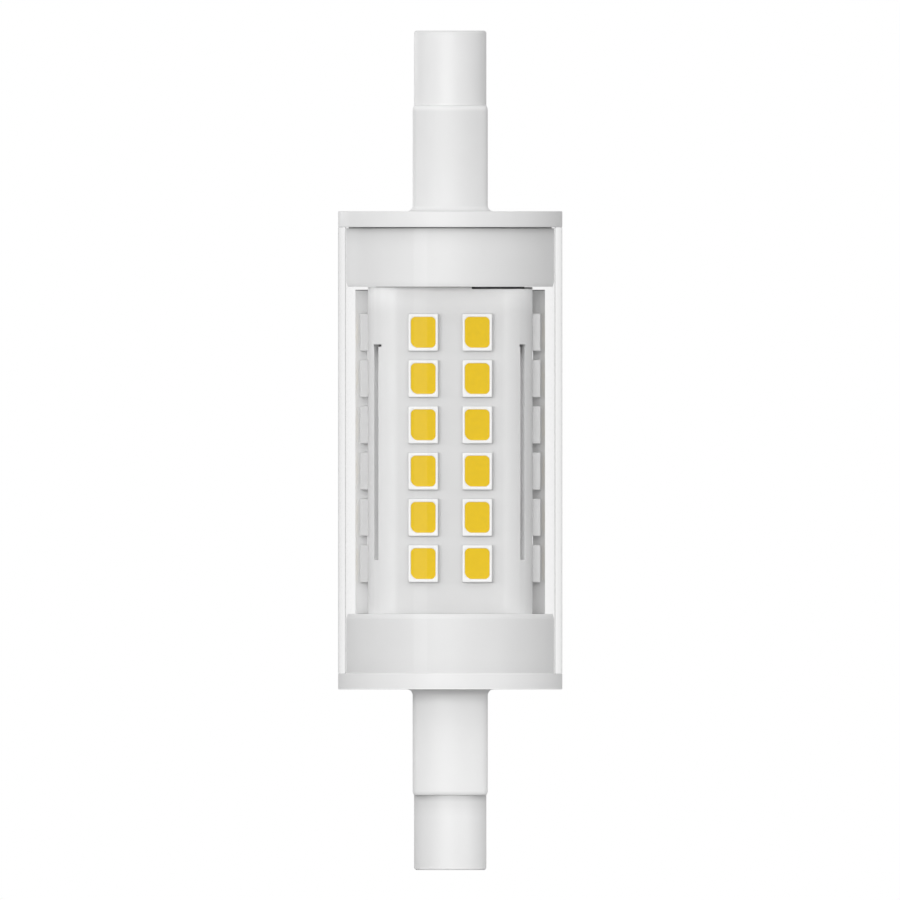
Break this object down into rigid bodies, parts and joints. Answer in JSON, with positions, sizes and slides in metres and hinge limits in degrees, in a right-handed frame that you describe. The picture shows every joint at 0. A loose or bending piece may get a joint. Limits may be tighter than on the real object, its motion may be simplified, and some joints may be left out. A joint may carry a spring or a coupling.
{
  "type": "linear led bulb",
  "caption": "Double-ended linear LED lamp: clear tube between white end caps with round recessed-contact pins, folded LED carriers and driver board inside.",
  "frame": {"origin": "middle of the lamp on its axis, halfway between the two pin ends", "axes": "+Z along the lamp towards the upper pin, -Y out of the front LED face, +X to the right of that face"},
  "size_m": [0.0208, 0.0208, 0.078],
  "materials": {
    "clear_plastic": "clear, polished",
    "white_plastic": "satin moulded",
    "contact_metal": "nickel plated",
    "wire_insulation": "smooth",
    "board_mask": "white solder mask",
    "carrier_coating": "white reflective mask",
    "led_housing": "white, slightly glossy",
    "phosphor": "yellow silicone",
    "capacitor_sleeve": "shrink sleeve on a can",
    "ferrite": "dark ferrite",
    "ceramic_body": "fired ceramic",
    "package_black": "moulded epoxy",
    "resistor_coating": "flameproof coating"
  },
  "bodies": {
    "root": {"clear_tube": "clear_plastic", "upper_end_cap": "white_plastic", "lower_end_cap": "white_plastic", "upper_contact": "contact_metal", "lower_contact": "contact_metal", "upper_lead": "wire_insulation", "lower_lead": "wire_insulation", "driver_board": "board_mask", "front_carrier": "carrier_coating", "rear_carrier": "carrier_coating", "smoothing_capacitor": "capacitor_sleeve", "choke": "ferrite", "ceramic_capacitor": "ceramic_body", "sense_resistors": "package_black", "fusible_resistor": "resistor_coating", "bridge_rectifier": "package_black", "driver_chip": "package_black", "freewheel_diode": "package_black", "front_face_left_led_housings": "led_housing", "front_face_right_led_housings": "led_housing", "front_side_left_led_housings": "led_housing", "front_side_right_led_housings": "led_housing", "rear_face_left_led_housings": "led_housing", "rear_face_right_led_housings": "led_housing", "rear_side_left_led_housings": "led_housing", "rear_side_right_led_housings": "led_housing", "front_face_left_phosphor": "phosphor", "front_face_right_phosphor": "phosphor", "front_side_left_phosphor": "phosphor", "front_side_right_phosphor": "phosphor", "rear_face_left_phosphor": "phosphor", "rear_face_right_phosphor": "phosphor", "rear_side_left_phosphor": "phosphor", "rear_side_right_phosphor": "phosphor"}
  },
  "joints": []
}
